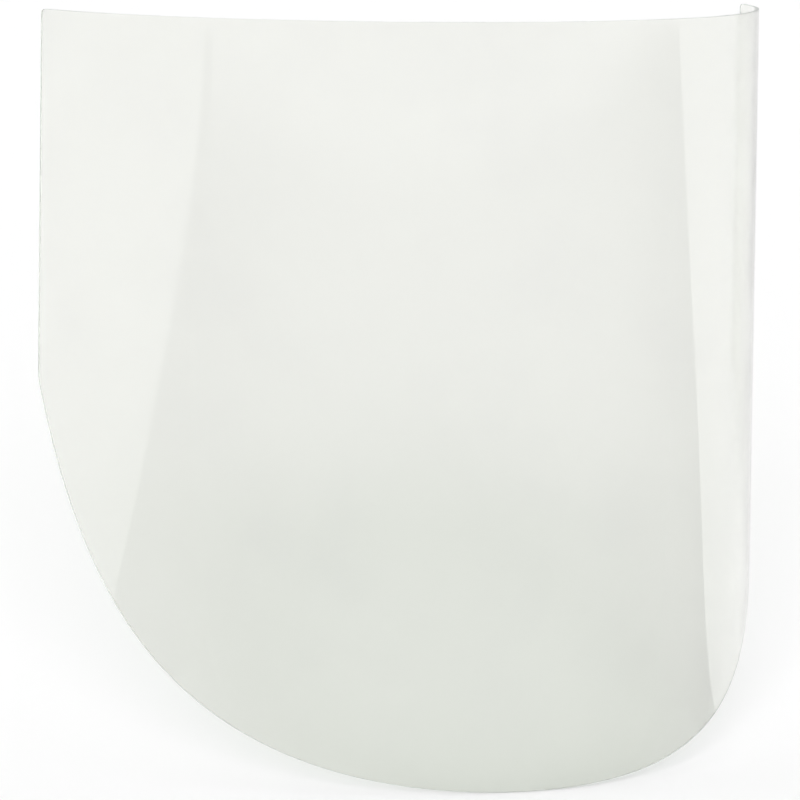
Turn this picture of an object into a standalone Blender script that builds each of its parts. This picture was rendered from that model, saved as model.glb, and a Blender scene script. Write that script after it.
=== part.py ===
"""Clear window of a face shield: one plastic sheet, cut flat and then bent round the face.

Metres, +Z up. The window faces -Y, and the wearer's face is on the +Y side. The origin is the middle of the
top edge, halfway through the sheet.
"""

import math

import bmesh
import bpy
from mathutils import Vector
from mathutils.geometry import interpolate_bezier

# The flat blank, as it is cut
BLANK_WIDTH = 0.305
BLANK_HEIGHT = 0.210
SIDE_EDGE_HEIGHT = 0.102
SHEET_THICKNESS = 0.001

# The chin curve: each half is one Bezier curve, from the foot of the side edge to the middle of the chin.
# The cheek angle is between the curve and the horizontal where the curve leaves the side edge. The fullness
# is how far both handles reach towards the point where the tangents at the two ends cross.
CHEEK_ANGLE = math.radians(68.0)
CHIN_FULLNESS = 0.71

# Corners of the outline, and the polished rim
TOP_CORNER_RADIUS = 0.0015
CHEEK_CORNER_LENGTH = 0.002
RIM_ROUNDING = 0.0002

# The bend, measured to the middle of the sheet
BEND_RADIUS = 0.1085

# Fineness of the faceted solid
CURVE_STEPS = 40
CORNER_STEPS = 4
RIM_STEPS = 2
RIM_ANGLE = math.radians(40.0)

# The plastic: clear, with a faint green-grey tint
TINT = (0.87, 0.90, 0.865, 1.0)
ROUGHNESS = 0.06
REFRACTIVE_INDEX = 1.585


def clear_scene():
    for obj in list(bpy.data.objects):
        bpy.data.objects.remove(obj, do_unlink=True)


def clear_plastic():
    material = bpy.data.materials.new("clear_plastic")
    material.use_nodes = True
    shader = material.node_tree.nodes["Principled BSDF"]
    shader.inputs["Base Color"].default_value = TINT
    shader.inputs["Metallic"].default_value = 0.0
    shader.inputs["Roughness"].default_value = ROUGHNESS
    shader.inputs["IOR"].default_value = REFRACTIVE_INDEX
    shader.inputs["Transmission Weight"].default_value = 1.0
    return material


def lower_outline():
    """The lower edge of the blank from the left side edge, round the chin, to the right side edge."""
    side_foot = Vector((-BLANK_WIDTH / 2, 0.0, -SIDE_EDGE_HEIGHT))
    chin = Vector((0.0, 0.0, -BLANK_HEIGHT))
    cheek_run = (BLANK_HEIGHT - SIDE_EDGE_HEIGHT) / math.tan(CHEEK_ANGLE)
    tangents_cross = Vector((side_foot.x + cheek_run, 0.0, chin.z))
    cheek_handle = side_foot.lerp(tangents_cross, CHIN_FULLNESS)
    chin_handle = chin.lerp(tangents_cross, CHIN_FULLNESS)
    left = interpolate_bezier(side_foot, cheek_handle, chin_handle, chin, CURVE_STEPS + 1)
    right = [Vector((-point.x, point.y, point.z)) for point in reversed(left[:-1])]
    return left + right


def round_corners(blank, corners, length):
    bmesh.ops.bevel(
        blank,
        geom=corners,
        offset=length,
        offset_type="OFFSET",
        segments=CORNER_STEPS,
        profile=0.5,
        affect="VERTICES",
    )


def flat_blank():
    """The middle of the sheet, flat in the XZ plane: the lower edge raised in columns to the top edge."""
    blank = bmesh.new()
    lower = [blank.verts.new(point) for point in lower_outline()]
    lower_edges = [blank.edges.new(pair) for pair in zip(lower, lower[1:])]
    raised = bmesh.ops.extrude_edge_only(blank, edges=lower_edges)["geom"]
    upper = [item for item in raised if isinstance(item, bmesh.types.BMVert)]
    for vert in upper:
        vert.co.z = 0.0
    upper.sort(key=lambda vert: vert.co.x)
    round_corners(blank, [upper[0], upper[-1]], TOP_CORNER_RADIUS)
    round_corners(blank, [lower[0], lower[-1]], CHEEK_CORNER_LENGTH)
    bmesh.ops.recalc_face_normals(blank, faces=blank.faces)
    mesh = bpy.data.meshes.new("visor_window")
    blank.to_mesh(mesh)
    blank.free()
    mesh.shade_smooth()
    return mesh


def add_thickness(window):
    solidify = window.modifiers.new("thickness", "SOLIDIFY")
    solidify.thickness = SHEET_THICKNESS
    solidify.offset = 0.0


def round_rim(window):
    bevel = window.modifiers.new("rim", "BEVEL")
    bevel.width = RIM_ROUNDING
    bevel.segments = RIM_STEPS
    bevel.limit_method = "ANGLE"
    bevel.angle_limit = RIM_ANGLE


def bend(window):
    """Bends the blank about an upright axis behind it, so that its middle keeps its flat length."""
    deform = window.modifiers.new("bend", "SIMPLE_DEFORM")
    deform.deform_method = "BEND"
    deform.deform_axis = "Z"
    deform.angle = BLANK_WIDTH / BEND_RADIUS


def visor_window():
    window = bpy.data.objects.new("visor_window", flat_blank())
    bpy.context.scene.collection.objects.link(window)
    window.data.materials.append(clear_plastic())
    add_thickness(window)
    round_rim(window)
    bend(window)
    return window


clear_scene()
visor_window()
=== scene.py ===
"""Looks of a face-shield window: the clear bent sheet and its cut edge, on a white studio floor.

Metres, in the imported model's frame: +Z up, the window faces -Y, the origin is the middle of the top edge.
"""

import math

import bmesh
import bpy
from mathutils import Matrix, Vector
from mathutils.geometry import interpolate_bezier


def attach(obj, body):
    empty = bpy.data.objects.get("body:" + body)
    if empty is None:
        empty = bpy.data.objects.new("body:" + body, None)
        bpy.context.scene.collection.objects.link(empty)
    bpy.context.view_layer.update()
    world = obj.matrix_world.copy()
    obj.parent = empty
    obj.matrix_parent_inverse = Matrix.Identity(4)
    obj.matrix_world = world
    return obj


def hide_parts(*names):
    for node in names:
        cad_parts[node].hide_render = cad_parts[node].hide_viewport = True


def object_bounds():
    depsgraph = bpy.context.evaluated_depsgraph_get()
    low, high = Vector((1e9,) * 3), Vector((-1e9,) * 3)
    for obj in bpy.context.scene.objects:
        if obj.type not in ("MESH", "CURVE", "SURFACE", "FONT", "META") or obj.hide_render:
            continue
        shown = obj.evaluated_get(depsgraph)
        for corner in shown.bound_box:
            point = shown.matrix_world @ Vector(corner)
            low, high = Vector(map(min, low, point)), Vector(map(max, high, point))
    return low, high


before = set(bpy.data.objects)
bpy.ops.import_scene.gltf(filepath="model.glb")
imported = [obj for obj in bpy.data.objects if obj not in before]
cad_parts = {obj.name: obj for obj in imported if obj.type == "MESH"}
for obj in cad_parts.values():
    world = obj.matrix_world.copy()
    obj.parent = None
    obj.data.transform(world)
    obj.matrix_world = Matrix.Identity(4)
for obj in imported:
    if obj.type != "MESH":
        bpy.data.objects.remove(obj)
CAD_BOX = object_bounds()

# The flat blank, as it is cut
BLANK_WIDTH = 0.305
BLANK_HEIGHT = -CAD_BOX[0].z
SIDE_EDGE_HEIGHT = 0.102
SHEET_THICKNESS = 0.001
CHEEK_ANGLE = math.radians(68.0)
CHIN_FULLNESS = 0.71
TOP_CORNER_RADIUS = 0.0015
CHEEK_CORNER_LENGTH = 0.002
RIM_ROUNDING = 0.0002
BEND_RADIUS = 0.1085

# Fineness of the sheet: columns in each half, rows from the top edge to the lower edge
HALF_COLUMNS = 56
ROWS = 48
CORNER_STEPS = 6
RIM_STEPS = 3
RIM_ANGLE = math.radians(40.0)
LARGE_FACE_WEIGHT = 100

# The plastic. The hairline depth is a share of the ripple height. The slant power says how steeply the share
# of lamp light that is mirrored grows as the light slants.
REFRACTIVE_INDEX = 1.585
SHEET_TINT = (0.883, 0.891, 0.852, 1.0)
HAZE_TINT = (0.865, 0.872, 0.838, 1.0)
LAMP_TINT = (0.876, 0.896, 0.872, 1.0)
SHEET_ROUGHNESS = 0.045
HAZE_ROUGHNESS = 0.03
HAIRLINE_ROUGHNESS = 0.06
HAZE_FINENESS = 7.0
RIPPLE_FINENESS = 5.0
RIPPLE_HEIGHT = 0.00006
HAIRLINE_DEPTH = 0.002
SLANT_POWER = 5.0

# The cut rim. The saw-mark depth is a share of the grain height.
EDGE_TINT = (0.74, 0.80, 0.75, 1.0)
EDGE_PALE_TINT = (0.84, 0.88, 0.84, 1.0)
EDGE_CLEARNESS = 0.85
EDGE_ROUGHNESS = 0.25
GRAIN_ROUGHNESS = 0.20
SAW_MARK_ROUGHNESS = 0.10
GRAIN_FINENESS = 700.0
GRAIN_HEIGHT = 0.00001
SAW_MARK_DEPTH = 0.5

# The wear: the levels of noise at which patches and hairlines begin and are full. Hairlines run two ways.
PATCH_LEVELS = (0.42, 0.74)
HAIRLINE_LEVELS = (0.72, 0.84)
HAIRLINE_FINENESS = 3.5
HAIRLINE_STRETCH = 90.0
HAIRLINE_TURNS = (0.45, -0.95)

# The studio
WHITE = (1.0, 1.0, 1.0, 1.0)
BLACK = (0.0, 0.0, 0.0, 1.0)
FLOOR_GAP = 0.0003
FLOOR_RADIUS = 16.0
FLOOR_STEPS = 96
FLOOR_COLOUR = (0.90, 0.90, 0.90, 1.0)
KEY_STRENGTH = 11.7
KEY_HEIGHT = math.radians(10.0)
KEY_SOFTNESS = math.radians(16.0)
DOME_STRENGTH = 1.48
DOME_SOFTNESS = math.radians(180.0)

# The dark card lies on the floor. Its back edge runs along three Bezier curves: to the left of the window,
# round the front of the window, and to the right of it. A black border lies along the left one.
CARD_LEFT_EDGE = ((-4.27, -1.14), (-2.73, -0.80), (-1.55, 0.11), (-0.53, 0.16))
CARD_MIDDLE_EDGE = ((-0.112, 0.108), (-0.112, -0.041), (0.112, -0.041), (0.112, 0.108))
CARD_RIGHT_EDGE = ((0.18, 0.06), (1.10, 0.14), (1.62, 0.05), (4.40, -0.82))
CARD_DEPTH = 5.0
CARD_BORDER = 0.20
CARD_STEPS = 24

# The card fades about an ellipse, given by its centre and its reach, from one share of the reach to another.
# It also fades by bearing, given as the cosine of the angle from straight ahead of the window.
CARD_CENTRE = (0.86, 0.0, 0.0)
CARD_REACH = (4.2, 2.44, 1.0)
FAR_FADE = (0.70, 1.30)
AHEAD_FADE = (0.20, 0.95)
AHEAD_CLEARNESS = 0.40
BESIDE_FADE = (-0.25, -0.45)

# The camera, from the outline in the photograph
VIEW_AZIMUTH = math.radians(-23.58)
VIEW_ELEVATION = math.radians(5.53)
VIEW_ROLL = math.radians(0.75)
VIEW_DISTANCE = 2.16
VIEW_AIM = Vector((-0.01523, 0.05143, -0.10708))
LENS = 351.07
SENSOR = 36.0


def lower_outline():
    """The lower edge of the blank from the left side edge, round the chin, to the right side edge."""
    side_foot = Vector((-BLANK_WIDTH / 2, 0.0, -SIDE_EDGE_HEIGHT))
    chin = Vector((0.0, 0.0, -BLANK_HEIGHT))
    cheek_run = (BLANK_HEIGHT - SIDE_EDGE_HEIGHT) / math.tan(CHEEK_ANGLE)
    tangents_cross = Vector((side_foot.x + cheek_run, 0.0, chin.z))
    cheek_handle = side_foot.lerp(tangents_cross, CHIN_FULLNESS)
    chin_handle = chin.lerp(tangents_cross, CHIN_FULLNESS)
    left = interpolate_bezier(side_foot, cheek_handle, chin_handle, chin, HALF_COLUMNS + 1)
    right = [Vector((-point.x, point.y, point.z)) for point in reversed(left[:-1])]
    return left + right


def round_corners(blank, corners, length):
    bmesh.ops.bevel(
        blank,
        geom=corners,
        offset=length,
        offset_type="OFFSET",
        segments=CORNER_STEPS,
        profile=0.5,
        affect="VERTICES",
        material=-1,
    )


def flat_blank():
    """The middle of the sheet, flat in the XZ plane, in columns and rows. Its UV map is its flat place."""
    blank = bmesh.new()
    lower = [blank.verts.new(point) for point in lower_outline()]
    lower_edges = [blank.edges.new(pair) for pair in zip(lower, lower[1:])]
    raised = bmesh.ops.extrude_edge_only(blank, edges=lower_edges)["geom"]
    upper = [item for item in raised if isinstance(item, bmesh.types.BMVert)]
    for vert in upper:
        vert.co.z = 0.0
    upper.sort(key=lambda vert: vert.co.x)
    uprights = [blank.edges.get(pair) for pair in zip(lower, upper)]
    bmesh.ops.subdivide_edges(blank, edges=uprights, cuts=ROWS - 1, use_grid_fill=True)
    corners = [vert for vert in blank.verts if len(vert.link_edges) == 2]
    corners.sort(key=lambda vert: vert.co.z)
    round_corners(blank, corners[2:], TOP_CORNER_RADIUS)
    round_corners(blank, corners[:2], CHEEK_CORNER_LENGTH)
    bmesh.ops.recalc_face_normals(blank, faces=blank.faces)
    flat_place = blank.loops.layers.uv.new("flat_place")
    for face in blank.faces:
        for loop in face.loops:
            place = loop.vert.co
            loop[flat_place].uv = (place.x / BLANK_WIDTH + 0.5, (place.z + BLANK_HEIGHT) / BLANK_WIDTH)
    mesh = bpy.data.meshes.new("clear_window")
    blank.to_mesh(mesh)
    blank.free()
    mesh.shade_smooth()
    return mesh


def thicken_and_bend(window):
    """Gives the blank its thickness and rounded rim, then bends it. Its middle keeps its flat length."""
    solidify = window.modifiers.new("thickness", "SOLIDIFY")
    solidify.thickness = SHEET_THICKNESS
    solidify.offset = 0.0
    solidify.material_offset_rim = 1
    bevel = window.modifiers.new("rim", "BEVEL")
    bevel.width = RIM_ROUNDING
    bevel.segments = RIM_STEPS
    bevel.limit_method = "ANGLE"
    bevel.angle_limit = RIM_ANGLE
    deform = window.modifiers.new("bend", "SIMPLE_DEFORM")
    deform.deform_method = "BEND"
    deform.deform_axis = "Z"
    deform.angle = BLANK_WIDTH / BEND_RADIUS
    normals = window.modifiers.new("true_faces", "WEIGHTED_NORMAL")
    normals.weight = LARGE_FACE_WEIGHT


def add_node(tree, kind, inputs, **settings):
    """Adds a node. An input given another node's output is linked to it, and any other input is set."""
    node = tree.nodes.new(kind)
    for name, value in settings.items():
        setattr(node, name, value)
    for socket, value in inputs.items():
        if isinstance(value, bpy.types.NodeSocket):
            tree.links.new(value, node.inputs[socket])
        else:
            node.inputs[socket].default_value = value
    return node


def larger(tree, first, second):
    """The larger of two values."""
    return add_node(tree, "ShaderNodeMath", {0: first, 1: second}, operation="MAXIMUM").outputs["Value"]


def rise(tree, value, levels, top=1.0, manner="SMOOTHSTEP"):
    """Rises from 0, where the value is at the first level, to the top, where it is at the second."""
    start, end = levels
    limits = {"Value": value, "From Min": start, "From Max": end, "To Max": top}
    return add_node(tree, "ShaderNodeMapRange", limits, interpolation_type=manner).outputs["Result"]


def blend(tree, mask, first, second):
    """The first colour where the mask is 0, going over to the second where it is 1."""
    colours = {"Factor": mask, "A": first, "B": second}
    return add_node(tree, "ShaderNodeMix", colours, data_type="RGBA").outputs["Result"]


def weighted_sum(tree, first, first_weight, second, second_weight, base):
    """Base, plus each of two masks times its own weight."""
    one = add_node(tree, "ShaderNodeMath", {0: first, 1: first_weight, 2: base}, operation="MULTIPLY_ADD")
    both = {0: second, 1: second_weight, 2: one.outputs["Value"]}
    return add_node(tree, "ShaderNodeMath", both, operation="MULTIPLY_ADD").outputs["Value"]


def empty_material(name):
    """A material that holds only its output, with its node tree and that output."""
    material = bpy.data.materials.new(name)
    material.use_nodes = True
    tree = material.node_tree
    tree.nodes.clear()
    return material, tree, tree.nodes.new("ShaderNodeOutputMaterial")


def hairline(tree, place, turn):
    """Sparse straight scratches that run one way: noise drawn out along them, and cut off high."""
    drawn_out = {"Vector": place, "Rotation": (0.0, 0.0, turn), "Scale": (1.0, HAIRLINE_STRETCH, 1.0)}
    mapping = add_node(tree, "ShaderNodeMapping", drawn_out)
    streaks = {"Vector": mapping.outputs["Vector"], "Scale": HAIRLINE_FINENESS, "Detail": 1.0}
    noise = add_node(tree, "ShaderNodeTexNoise", streaks)
    return rise(tree, noise.outputs["Fac"], HAIRLINE_LEVELS, manner="LINEAR")


def plastic_wear():
    """Wear of a plastic surface: cloudy patches of a chosen fineness, and hairline scratches."""
    group = bpy.data.node_groups.new("plastic_wear", "ShaderNodeTree")
    group.interface.new_socket("Place", in_out="INPUT", socket_type="NodeSocketVector")
    group.interface.new_socket("Fineness", in_out="INPUT", socket_type="NodeSocketFloat")
    group.interface.new_socket("Patches", in_out="OUTPUT", socket_type="NodeSocketFloat")
    group.interface.new_socket("Hairlines", in_out="OUTPUT", socket_type="NodeSocketFloat")
    given = group.nodes.new("NodeGroupInput")
    place = given.outputs["Place"]
    clouds = {"Vector": place, "Scale": given.outputs["Fineness"], "Detail": 4.0, "Roughness": 0.6}
    noise = add_node(group, "ShaderNodeTexNoise", clouds)
    patches = rise(group, noise.outputs["Fac"], PATCH_LEVELS)
    one_way, other_way = [hairline(group, place, turn) for turn in HAIRLINE_TURNS]
    hairlines = larger(group, one_way, other_way)
    add_node(group, "NodeGroupOutput", {"Patches": patches, "Hairlines": hairlines})
    return group


def add_wear(tree, wear, place, fineness):
    """Places the wear group in a material, and gives its patches and its hairlines."""
    group = add_node(tree, "ShaderNodeGroup", {}, node_tree=wear)
    tree.links.new(place, group.inputs["Place"])
    group.inputs["Fineness"].default_value = fineness
    return group.outputs["Patches"], group.outputs["Hairlines"]


def let_lamps_through(tree, shader):
    """Lets lamps shine straight through a face, less what it mirrors, which grows as the light slants."""
    weight = add_node(tree, "ShaderNodeLayerWeight", {"Blend": 0.5})
    slant = {0: weight.outputs["Facing"], 1: SLANT_POWER}
    mirrored = add_node(tree, "ShaderNodeMath", slant, operation="POWER")
    let_through = blend(tree, mirrored.outputs["Value"], LAMP_TINT, BLACK)
    lamp_light = add_node(tree, "ShaderNodeBsdfTransparent", {"Color": let_through})
    path = tree.nodes.new("ShaderNodeLightPath")
    sides = {0: path.outputs["Is Shadow Ray"], 1: shader.outputs["BSDF"], 2: lamp_light.outputs["BSDF"]}
    return add_node(tree, "ShaderNodeMixShader", sides).outputs["Shader"]


def clear_plastic(wear):
    """The two polished faces: a faint patchy haze, hairline scratches and the slow ripple of the sheet."""
    material, tree, output = empty_material("clear_plastic")
    place = add_node(tree, "ShaderNodeUVMap", {}, uv_map="flat_place").outputs["UV"]
    haze, hairlines = add_wear(tree, wear, place, HAZE_FINENESS)
    swells = {"Vector": place, "Scale": RIPPLE_FINENESS, "Detail": 0.0}
    ripple = add_node(tree, "ShaderNodeTexNoise", swells)
    height = weighted_sum(tree, ripple.outputs["Fac"], 1.0, hairlines, -HAIRLINE_DEPTH, 0.0)
    bump = add_node(tree, "ShaderNodeBump", {"Height": height, "Distance": RIPPLE_HEIGHT})
    roughness = weighted_sum(tree, haze, HAZE_ROUGHNESS, hairlines, HAIRLINE_ROUGHNESS, SHEET_ROUGHNESS)
    surface = {
        "Base Color": blend(tree, haze, SHEET_TINT, HAZE_TINT),
        "Metallic": 0.0,
        "Roughness": roughness,
        "IOR": REFRACTIVE_INDEX,
        "Transmission Weight": 1.0,
        "Normal": bump.outputs["Normal"],
    }
    shader = add_node(tree, "ShaderNodeBsdfPrincipled", surface)
    tree.links.new(let_lamps_through(tree, shader), output.inputs["Surface"])
    return material


def cut_edge(wear):
    """The cut rim: the same plastic in its own deeper colour, left grainy by the cutter."""
    material, tree, output = empty_material("cut_edge")
    place = tree.nodes.new("ShaderNodeTexCoord").outputs["Object"]
    grain, saw_marks = add_wear(tree, wear, place, GRAIN_FINENESS)
    height = weighted_sum(tree, grain, 1.0, saw_marks, -SAW_MARK_DEPTH, 0.0)
    bump = add_node(tree, "ShaderNodeBump", {"Height": height, "Distance": GRAIN_HEIGHT})
    roughness = weighted_sum(tree, grain, GRAIN_ROUGHNESS, saw_marks, SAW_MARK_ROUGHNESS, EDGE_ROUGHNESS)
    surface = {
        "Base Color": blend(tree, grain, EDGE_TINT, EDGE_PALE_TINT),
        "Metallic": 0.0,
        "Roughness": roughness,
        "IOR": REFRACTIVE_INDEX,
        "Transmission Weight": EDGE_CLEARNESS,
        "Normal": bump.outputs["Normal"],
    }
    shader = add_node(tree, "ShaderNodeBsdfPrincipled", surface)
    tree.links.new(shader.outputs["BSDF"], output.inputs["Surface"])
    return material


def clear_window():
    window = bpy.data.objects.new("clear_window", flat_blank())
    bpy.context.scene.collection.objects.link(window)
    wear = plastic_wear()
    window.data.materials.append(clear_plastic(wear))
    window.data.materials.append(cut_edge(wear))
    thicken_and_bend(window)
    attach(window, "root")
    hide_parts("visor_window")


def stage_piece(name, shape, material):
    """An object of the studio, which isn't part of the window."""
    mesh = bpy.data.meshes.new(name)
    shape.to_mesh(mesh)
    shape.free()
    mesh.materials.append(material)
    piece = bpy.data.objects.new(name, mesh)
    bpy.context.scene.collection.objects.link(piece)
    return piece


def white_floor():
    material, tree, output = empty_material("white_floor")
    matt_white = {"Base Color": FLOOR_COLOUR, "Roughness": 1.0, "Specular IOR Level": 0.0}
    shader = add_node(tree, "ShaderNodeBsdfPrincipled", matt_white)
    tree.links.new(shader.outputs["BSDF"], output.inputs["Surface"])
    shape = bmesh.new()
    level = Matrix.Translation((0.0, 0.0, CAD_BOX[0].z - FLOOR_GAP))
    bmesh.ops.create_circle(shape, cap_ends=True, radius=FLOOR_RADIUS, segments=FLOOR_STEPS, matrix=level)
    stage_piece("white_floor", shape, material)


def floor_card(name, curves, depth, material):
    """A card lying on the floor from a back edge towards -Y. It shows only as its reflection in the sheet."""
    height = CAD_BOX[0].z - FLOOR_GAP / 2
    shape = bmesh.new()
    back = []
    for curve in curves:
        handles = [Vector((x, y, height)) for x, y in curve]
        back += [shape.verts.new(point) for point in interpolate_bezier(*handles, CARD_STEPS)]
    edges = [shape.edges.new(pair) for pair in zip(back, back[1:])]
    drawn = bmesh.ops.extrude_edge_only(shape, edges=edges)["geom"]
    front = [item for item in drawn if isinstance(item, bmesh.types.BMVert)]
    bmesh.ops.translate(shape, verts=front, vec=(0.0, -depth, 0.0))
    card = stage_piece(name, shape, material)
    card.visible_camera = False
    card.visible_diffuse = False
    card.visible_transmission = False
    card.visible_volume_scatter = False
    card.visible_shadow = False


def black_card():
    """Black all over."""
    material, tree, output = empty_material("black_card")
    black = add_node(tree, "ShaderNodeEmission", {"Color": BLACK})
    tree.links.new(black.outputs["Emission"], output.inputs["Surface"])
    return material


def fading_card():
    """Black at the sides, thinner straight ahead of the window, gone beside its back and at the far end."""
    material, tree, output = empty_material("fading_card")
    place = tree.nodes.new("ShaderNodeTexCoord").outputs["Object"]
    flat = add_node(tree, "ShaderNodeVectorMath", {0: place, 1: (1.0, 1.0, 0.0)}, operation="MULTIPLY")
    ellipse = {"Vector": flat.outputs["Vector"], "Location": CARD_CENTRE, "Scale": CARD_REACH}
    reach = add_node(tree, "ShaderNodeMapping", ellipse, vector_type="TEXTURE")
    distance = add_node(tree, "ShaderNodeVectorMath", {0: reach.outputs["Vector"]}, operation="LENGTH")
    bearing = add_node(tree, "ShaderNodeVectorMath", {0: flat.outputs["Vector"]}, operation="NORMALIZE")
    forward = {0: bearing.outputs["Vector"], 1: (0.0, -1.0, 0.0)}
    front = add_node(tree, "ShaderNodeVectorMath", forward, operation="DOT_PRODUCT")
    far = rise(tree, distance.outputs["Value"], FAR_FADE)
    ahead = rise(tree, front.outputs["Value"], AHEAD_FADE, top=AHEAD_CLEARNESS)
    beside = rise(tree, front.outputs["Value"], BESIDE_FADE)
    clearness = larger(tree, larger(tree, far, ahead), beside)
    black = add_node(tree, "ShaderNodeEmission", {"Color": BLACK})
    clear = tree.nodes.new("ShaderNodeBsdfTransparent")
    sides = {0: clearness, 1: black.outputs["Emission"], 2: clear.outputs["BSDF"]}
    card = add_node(tree, "ShaderNodeMixShader", sides)
    tree.links.new(card.outputs["Shader"], output.inputs["Surface"])
    return material


def dark_cards():
    back_edge = (CARD_LEFT_EDGE, CARD_MIDDLE_EDGE, CARD_RIGHT_EDGE)
    floor_card("dark_card", back_edge, CARD_DEPTH, fading_card())
    floor_card("card_border", (CARD_LEFT_EDGE,), CARD_BORDER, black_card())


def white_surround():
    """White all round for the eye and for what the plastic shows. The lamps alone light the rest."""
    world = bpy.data.worlds.new("white_surround")
    world.use_nodes = True
    tree = world.node_tree
    tree.nodes.clear()
    path = tree.nodes.new("ShaderNodeLightPath").outputs
    mirrored = larger(tree, path["Is Camera Ray"], path["Is Glossy Ray"])
    shown = larger(tree, mirrored, path["Is Transmission Ray"])
    background = add_node(tree, "ShaderNodeBackground", {"Color": WHITE, "Strength": shown})
    add_node(tree, "ShaderNodeOutputWorld", {"Surface": background.outputs["Background"]})
    bpy.context.scene.world = world


def towards(azimuth, elevation):
    """The direction from the window towards something at this azimuth and elevation."""
    level = math.cos(elevation)
    return Vector((math.sin(azimuth) * level, -math.cos(azimuth) * level, math.sin(elevation)))


def soft_lamp(name, direction, strength, softness):
    """A lamp as wide as its softness, which lights the floor and isn't seen in the plastic."""
    data = bpy.data.lights.new(name, "SUN")
    data.energy = strength
    data.angle = softness
    data.cycles.use_multiple_importance_sampling = False
    lamp = bpy.data.objects.new(name, data)
    bpy.context.scene.collection.objects.link(lamp)
    lamp.rotation_euler = direction.to_track_quat("Z", "Y").to_euler()
    lamp.visible_glossy = False
    lamp.visible_transmission = False


def studio_lamps():
    soft_lamp("key_lamp", towards(VIEW_AZIMUTH, KEY_HEIGHT), KEY_STRENGTH, KEY_SOFTNESS)
    soft_lamp("dome_lamp", Vector((0.0, 0.0, 1.0)), DOME_STRENGTH, DOME_SOFTNESS)


def camera():
    data = bpy.data.cameras.new("camera")
    data.lens = LENS
    data.sensor_width = SENSOR
    viewer = bpy.data.objects.new("camera", data)
    bpy.context.scene.collection.objects.link(viewer)
    back = towards(VIEW_AZIMUTH, VIEW_ELEVATION)
    turn = back.to_track_quat("Z", "Y").to_matrix().to_4x4() @ Matrix.Rotation(VIEW_ROLL, 4, "Z")
    viewer.matrix_world = Matrix.Translation(VIEW_AIM + VIEW_DISTANCE * back) @ turn
    bpy.context.scene.camera = viewer


def plain_view():
    """Plain colours, and no light focused by the plastic."""
    scene = bpy.context.scene
    scene.view_settings.view_transform = "Standard"
    scene.cycles.caustics_reflective = False
    scene.cycles.caustics_refractive = False


clear_window()
white_floor()
dark_cards()
white_surround()
studio_lamps()
camera()
plain_view()
